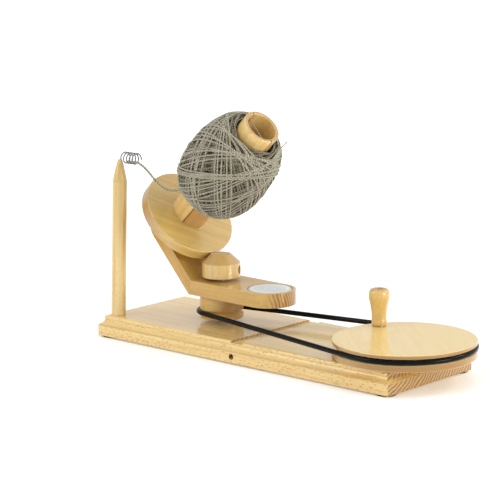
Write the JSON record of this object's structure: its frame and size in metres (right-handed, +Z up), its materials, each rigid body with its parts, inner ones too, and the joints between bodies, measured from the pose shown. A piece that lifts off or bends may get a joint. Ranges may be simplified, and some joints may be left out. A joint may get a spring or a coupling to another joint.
{
  "type": "yarn ball winder",
  "caption": "Hand-cranked wooden yarn ball winder: crank wheel, round belt, flyer with a tilted spool rolled by a fixed cone, guide post and wound ball.",
  "frame": {"origin": "below the middle of the whole object, on the plane that its feet stand on", "axes": "+X along the base from the guide post towards the crank wheel; +Y across the base, away from the side with the guide post; +Z up"},
  "size_m": [0.5552, 0.1848, 0.3168],
  "materials": {
    "wood": "clear satin lacquer on pale beech",
    "rubber": "smooth black rubber",
    "yarn": "two-ply grey-beige wool",
    "steel": "bright zinc-plated steel",
    "wire": "polished steel wire",
    "polished_steel": "faced steel disc, bright"
  },
  "bodies": {
    "base": {"base_board": "wood", "rubber_feet": "rubber", "foot_screws": "steel", "guide_post": "wood", "yarn_guide_coil": "wire", "wheel_axle_bolt": "steel", "wheel_axle_nut": "steel", "wheel_spacer": "steel", "wheel_bearing_inner_races": "steel", "drive_belt": "rubber", "pulley_shaft": "steel", "shaft_nut": "steel", "shaft_washer": "steel", "pulley_spacer": "steel", "shaft_sleeve": "steel", "shaft_bearing_inner_races": "steel", "knob_collar": "steel", "cone_knob": "wood", "knob_set_screw": "steel", "yarn_strand": "yarn"},
    "drive_wheel": {"drive_wheel": "wood", "wheel_bearing_outer_races": "steel", "grip_screw": "steel", "grip_washer": "steel"},
    "handle": {"handle_grip": "wood"},
    "flyer": {"pulley": "wood", "flyer_bearing_outer_races": "steel", "arm_horizontal": "wood", "pulley_dowels": "wood", "arm_inclined": "wood", "elbow_dowels": "wood", "counterweight_disc": "polished_steel", "spool_axle_bolt": "steel", "spool_washer": "steel", "spool_sleeve": "steel", "spool_bearing_inner_races": "steel", "spool_axle_nut": "steel"},
    "spool": {"spool_bearing_outer_races": "steel", "spool_boss": "wood", "friction_disc": "wood", "spool_tube": "wood", "yarn_ball": "yarn", "mouth_yarn_tail": "yarn", "loose_yarn_end": "yarn"}
  },
  "joints": [
    {"name": "drive_wheel_spin", "type": "hinge", "parent": "base", "child": "drive_wheel", "pos_m": [0.18515, 0, 0.042], "axis": [0, 0, 1], "continuous": true},
    {"name": "handle_grip_spin", "type": "hinge", "parent": "drive_wheel", "child": "handle", "pos_m": [0.11681, 0.03437, 0.0525], "axis": [0, 0, 1], "continuous": true},
    {"name": "flyer_spin", "type": "hinge", "parent": "base", "child": "flyer", "pos_m": [-0.12585, 0, 0.06], "axis": [0, 0, 1], "continuous": true, "deforming": ["yarn_strand"]},
    {"name": "spool_spin", "type": "hinge", "parent": "flyer", "child": "spool", "pos_m": [-0.18394, 0.00223, 0.16989], "axis": [0.7284, -0.028, 0.6845], "continuous": true}
  ],
  "couplings": [
    {"joint": "flyer_spin", "follows": "drive_wheel_spin", "ratio": 2.8774},
    {"joint": "spool_spin", "follows": "drive_wheel_spin", "ratio": 0.824}
  ]
}
